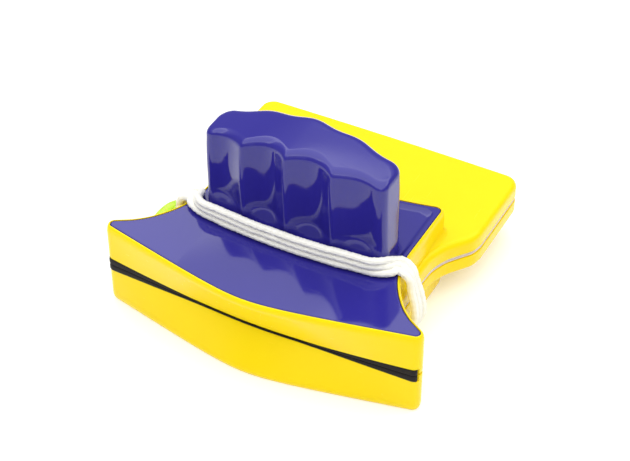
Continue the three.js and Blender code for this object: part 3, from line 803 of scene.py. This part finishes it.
# In front of the grip the plate has sunk a little in the mould and leans forward, most at its middle. The
# lean is too slight to show in the outline, so it is a slow bump under the grain.
RAMP_START = 5
RAMP_END = 24
RAMP_MIDDLE_X = 3
LEAN_AT_MIDDLE = 0.197
LEAN_LOSS = 0.000108
LEAST_LEAN = 0.07
blue_ramp = moulded_material("blue_ramp_moulding", DARK_BLUE, LIGHT_BLUE, 0.07, 0.05, 0.35, IOR=1.5)
tree = blue_ramp.node_tree
split = tree.nodes.new("ShaderNodeSeparateXYZ")
tree.links.new(tree.nodes.new("ShaderNodeTexCoord").outputs["Object"], split.inputs[0])
across = math_node(tree, "MULTIPLY_ADD", split.outputs["X"], 1000, -RAMP_MIDDLE_X)
across_squared = math_node(tree, "MULTIPLY", across, across)
lean = math_node(tree, "MULTIPLY_ADD", across_squared, -LEAN_LOSS, LEAN_AT_MIDDLE)
lean = math_node(tree, "MAXIMUM", lean, LEAST_LEAN)
along = math_node(tree, "MULTIPLY_ADD", split.outputs["Y"], 1000, -FIRST_Y - RAMP_START)
ramp = tree.nodes.new("ShaderNodeBump")
ramp.inputs["Distance"].default_value = 0.001
tree.links.new(math_node(tree, "MULTIPLY", along, lean), ramp.inputs["Height"])
grain_bump = next(node for node in tree.nodes if node.type == "BUMP" and node != ramp)
tree.links.new(ramp.outputs["Normal"], grain_bump.inputs["Normal"])

GRIP_CENTRE_Y = 34.4
GRIP_HALF_LENGTH = 39
GRIP_HALF_THICKNESS = 13.5
GRIP_CORNER_RADIUS = 5
GRIP_RIDGE_PITCH = 19.5
GRIP_TOP = 64
GRIP_END_DROP = 4.2
GRIP_FOOT_RADIUS = 1.5


def cover_plate(name):
    outline = moved_in(block_outline(BOW_AT_RIM), RIM_WIDTH + 0.2, True)
    edge_radius = 0.6
    levels = [(SEAT_HEIGHT + GAP, 0), (HALF_HEIGHT - edge_radius, 0)]
    levels += rounding(HALF_HEIGHT - edge_radius, HALF_HEIGHT, edge_radius, 4)
    return shell_object(name, [level(moved_in(outline, edge), z) for z, edge in levels])


def cover_bosses():
    shape = [(0, WEB_TOP + GAP), (3.3, WEB_TOP + GAP), (3.3, SEAT_HEIGHT + 1), (0, SEAT_HEIGHT + 1)]
    return [turned_post("boss", shape, x, y) for x, y in SCREWS]


def screw_holes():
    shape = [(0, 5), (1.6, 5), (1.6, 14.2), (0, 14.2)]
    return joined("screw_holes", [turned_post("hole", shape, x, y) for x, y in SCREWS])


lower_cover = cover_plate("outer_cover")
combine(lower_cover, joined("bosses", cover_bosses()), "UNION")
bed_outline = [(-41.25, 22.6), (41.25, 22.6), (41.25, 37.2), (-41.25, 37.2)]
combine(lower_cover, prism("bed", bed_outline, 13.4, 18), "UNION")
combine(lower_cover, trough())
combine(lower_cover, screw_holes())
place(lower_cover, LOWER, blue)
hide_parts("lower_cover")
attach(lower_cover, "lower_half")


def smooth_share(low, high, value):
    share = max(0, min(1, (value - low) / (high - low)))
    return share * share * (3 - 2 * share)


def grip_thickness(x, z, rear):
    """Half the grip's thickness, with four finger grooves down each face that fade out above its foot."""
    straight = GRIP_HALF_LENGTH - GRIP_CORNER_RADIUS
    barrel = (6.5 if rear else 3) * (abs(x) / GRIP_HALF_LENGTH) ** 2
    over = max(0, abs(x) - straight)
    corner = GRIP_CORNER_RADIUS - math.sqrt(max(0, GRIP_CORNER_RADIUS ** 2 - over ** 2))
    wave = math.sin(math.pi * x / GRIP_RIDGE_PITCH)
    if rear:
        groove = 0.4 + 1.2 * wave * wave
    else:
        depth = 3 if abs(x) > GRIP_RIDGE_PITCH else 4.2
        groove = depth * (math.sqrt(wave * wave + 0.012) - 0.11) / 0.896
    return GRIP_HALF_THICKNESS - barrel - corner - groove * smooth_share(22.5, 32, z)


def grip_ring(z, shrink):
    """The grip's outline at a height: its front from left to right, then its rear from right to left."""
    steps = 84
    spread = math.radians(85)
    scale = GRIP_HALF_LENGTH / math.sin(spread)
    xs = [scale * math.sin(spread * i / steps) for i in range(-steps, steps + 1)]
    sides = []
    for x in xs:
        drop = GRIP_END_DROP * (abs(x) / 37) ** 1.5 * max(0, z - GRIP_TOP + 16) / 16
        swell = 0.4 * smooth_share(30, 46, z) * smooth_share(64, 50, z)
        pair = [grip_thickness(x, z, rear) - shrink + swell for rear in (False, True)]
        taper = 0.98 - 0.0004 * (z - 20) - shrink * 0.5 / GRIP_HALF_LENGTH
        bulge = 1.4 * max(0, x / GRIP_HALF_LENGTH) ** 3 + 0.7 * max(0, -x / GRIP_HALF_LENGTH) ** 3
        sides.append((x * taper + 0.6 + bulge, *pair, z - drop))
    front = [(x, GRIP_CENTRE_Y - t, z) for x, t, rear, z in sides]
    return front + [(x, GRIP_CENTRE_Y + rear, z) for x, t, rear, z in reversed(sides)]


grip_levels = [(16.5, 0)]
for turn in (0, 20, 40, 65, 90):
    rise = GRIP_FOOT_RADIUS * (1 - math.cos(math.radians(turn)))
    spread = GRIP_FOOT_RADIUS * (1 - math.sin(math.radians(turn)))
    grip_levels.append((HALF_HEIGHT + rise, -spread))
grip_levels += [(21.8 + 0.7 * i, 0) for i in range(16)]
grip_levels += [(33 + 1.15 * i, 0) for i in range(25)] + rounding(GRIP_TOP - 3.4, GRIP_TOP, 4, 10)

# The cover is dished round the rear of the grip, with a raised rim and a sloping band down to a flat.
DISH_START = 37
DISH_SIDE = 42.2
DISH_DEPTH = 1.5
DISH_SLOPE = 2.4
side_edge = [(0, DISH_START), (38, DISH_START)] + [(DISH_SIDE, y) for y in (DISH_START, 48, 58)]
rear_edge = [(38 * i / 10, 62.5 + 5 * (3.8 * i / 41) ** 2) for i in range(10, -1, -1)]
dish = mirrored(side_edge + arc(DISH_SIDE - 2.5, 63.6, 2.5, 0, 80, 6) + rear_edge)
dish_floor = [(x * 40 / DISH_SIDE, y if y < 50 else y - DISH_SLOPE) for x, y in dish]
dish_rings = [level(dish_floor, HALF_HEIGHT - DISH_DEPTH), level(dish, HALF_HEIGHT - 0.02),
              level(dish, HALF_HEIGHT + 1)]
grip_cover = cover_plate("grip_and_cover")
combine(grip_cover, shell_object("dish", dish_rings))
grip_rings = [grip_ring(z, shrink) for z, shrink in grip_levels]
combine(grip_cover, shell_object("grip", grip_rings, rungs=True), "UNION")
place(grip_cover, UPPER, blue, 38)
grip_cover.data.materials.append(blue_ramp)
plate_top = (GLASS_Z + HALF_HEIGHT + 0.01) * MM
ramp_end = (FIRST_Y + RAMP_END) * MM
for polygon in grip_cover.data.polygons:
    polygon.material_index = int(polygon.center.z < plate_top and polygon.center.y < ramp_end)
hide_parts("grip_cover")
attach(grip_cover, "upper_half")

# ---- Magnets, keepers and screws ----------------------------------------------------------------
# Sintered ferrite blocks lie in pockets of each frame, under a plate of zinc-plated steel that closes their
# field. Plated self-tapping screws go through each frame into the bosses of its cover.
ferrite = moulded_material(
    "ferrite", (0.030, 0.030, 0.034), (0.075, 0.075, 0.08), 0.55, 0.3, 0.8, 2200, 0.00005, Metallic=0.3)
zinc = moulded_material(
    "zinc_plate", (0.36, 0.37, 0.38), (0.62, 0.63, 0.64), 0.34, 0.25, 1.0, 700, 0.00002, Metallic=1.0)
screw_steel = moulded_material(
    "screw_steel", (0.42, 0.43, 0.45), (0.66, 0.66, 0.68), 0.28, 0.2, 0.8, 900, 0.00002, Metallic=1.0)
finishes = (("magnet", ferrite), ("keeper", zinc), ("screw", screw_steel), ("sponge", foam))
for node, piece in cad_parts.items():
    for word, material in finishes:
        if word in node:
            piece.data.materials.clear()
            piece.data.materials.append(material)

# ---- Floor and light ----------------------------------------------------------------------------
# A white table that glows faintly, so that it stays plain white. A wide softbox hangs level above it in a
# pale room, whose walls are brightest just below the softbox.
TABLE_GLOW = 0.25
ROOM_LIGHT = 0.38
WALL_LIGHT = 0.7
bm = bmesh.new()
bmesh.ops.create_grid(bm, x_segments=1, y_segments=1, size=3)
mesh = bpy.data.meshes.new("table_top")
bm.to_mesh(mesh)
bm.free()
floor = new_piece("table_top", mesh)
floor_material, tree, shader, mix, bump = material_of(
    "table_white", (0.80, 0.80, 0.80), (0.83, 0.83, 0.83), 0.9,
    Emission_Color=(1, 1, 1, 1), Emission_Strength=TABLE_GLOW)
table_place = tree.nodes.new("ShaderNodeTexCoord").outputs["Object"]
tree.links.new(noise_node(tree, table_place, 8), mix.inputs["Factor"])
floor.data.materials.append(floor_material)

world = bpy.data.worlds.new("room")
world.use_nodes = True
tree = world.node_tree
tree.nodes["Background"].inputs["Color"].default_value = (1, 1, 1, 1)
split = tree.nodes.new("ShaderNodeSeparateXYZ")
tree.links.new(tree.nodes.new("ShaderNodeTexCoord").outputs["Generated"], split.inputs[0])
ceiling = math_node(tree, "MULTIPLY_ADD", split.outputs["Z"], 10, -7.2, clamp=True)
upper_wall = math_node(tree, "MULTIPLY_ADD", split.outputs["Z"], 5, -2.5, clamp=True)
upper_wall = math_node(tree, "SUBTRACT", upper_wall, ceiling)
brightness = math_node(tree, "MULTIPLY_ADD", upper_wall, WALL_LIGHT, ROOM_LIGHT)
tree.links.new(brightness, tree.nodes["Background"].inputs["Strength"])
bpy.context.scene.world = world

LAMPS = (("softbox", Vector((0, 0, 1)), 1.8, 18.5), ("fill", Vector((0.9, -1.4, 0.9)), 0.9, 0.8))
for name, location, size, power in LAMPS:
    light_data = bpy.data.lights.new(name, "AREA")
    light_data.shape = "SQUARE"
    light_data.size = size
    light_data.energy = power
    light = bpy.data.objects.new(name, light_data)
    bpy.context.collection.objects.link(light)
    aim = (-location).to_track_quat("-Z", "Y").to_matrix().to_4x4()
    light.matrix_world = Matrix.Translation(location) @ aim
bpy.context.scene.view_settings.view_transform = "Standard"
